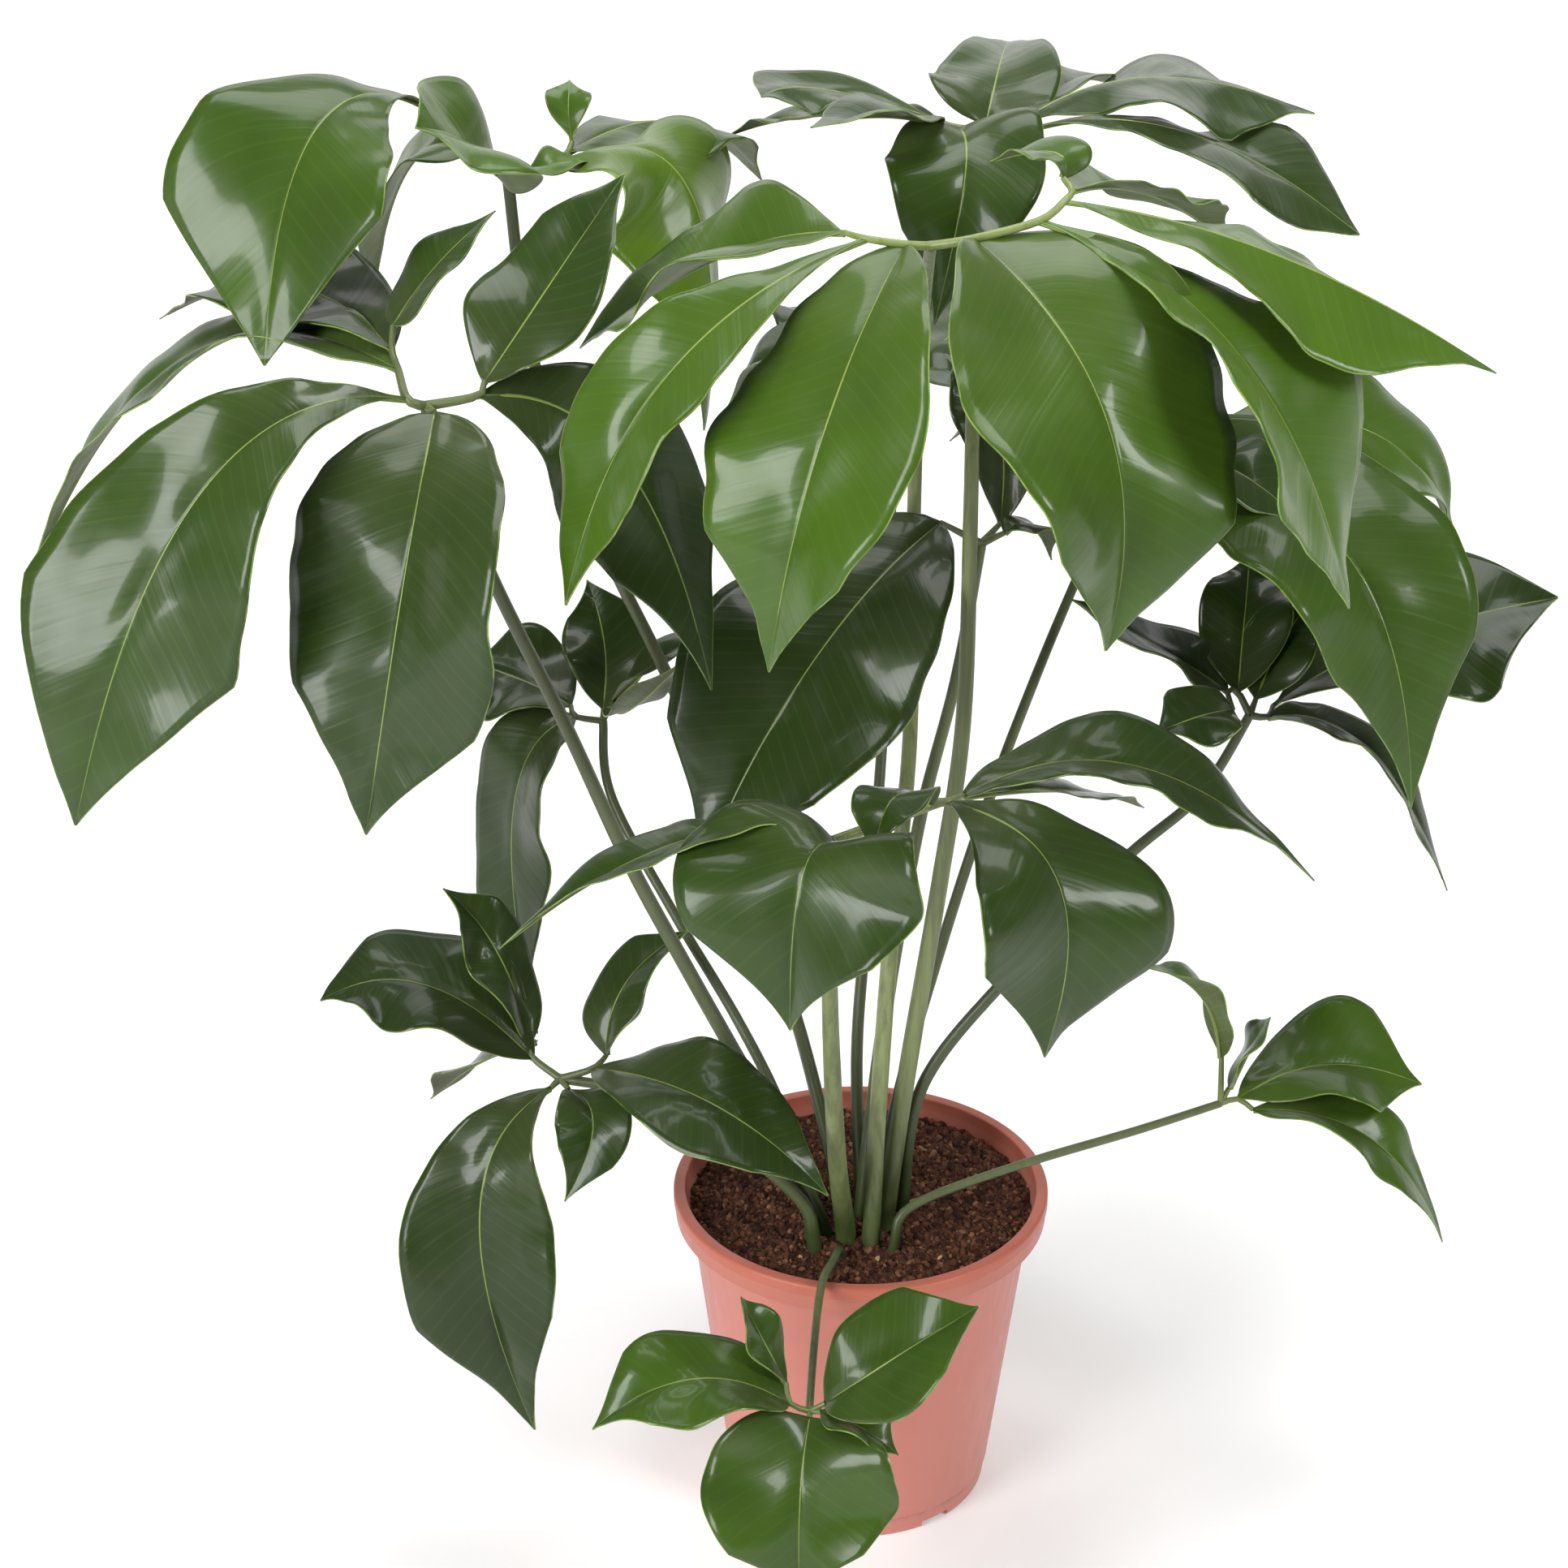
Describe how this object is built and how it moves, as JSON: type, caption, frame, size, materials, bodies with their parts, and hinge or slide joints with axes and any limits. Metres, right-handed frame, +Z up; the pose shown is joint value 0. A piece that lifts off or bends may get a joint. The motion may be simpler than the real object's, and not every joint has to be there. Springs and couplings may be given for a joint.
{
  "type": "potted philodendron",
  "caption": "Potted philodendron: a round terracotta-coloured nursery pot filled with peat soil, from which long-stalked fronds of broad glossy leaflets rise and arch outwards.",
  "frame": {"origin": "middle of the pot's underside, on the surface that the pot stands on", "axes": "+Z up along the pot's axis, -Y towards the plant's front as it is seen in the picture, +X to its right"},
  "size_m": [0.8337, 0.6297, 0.7984],
  "materials": {
    "pot": "satin",
    "soil": "matte",
    "leaf": "gloss",
    "young_leaf": "gloss",
    "stalk": "satin"
  },
  "bodies": {
    "root": {"pot": "pot", "soil": "soil", "frond_rear_left": "leaf", "frond_front_left": "leaf", "frond_mid_left": "leaf", "frond_low_left": "leaf", "frond_centre": "leaf", "frond_top_bright": "young_leaf", "frond_top_rear": "leaf", "frond_inner_dark": "leaf", "frond_right": "leaf", "frond_low_right": "leaf", "frond_over_rim": "leaf", "frond_rear_right": "leaf", "frond_back": "leaf"}
  },
  "joints": []
}
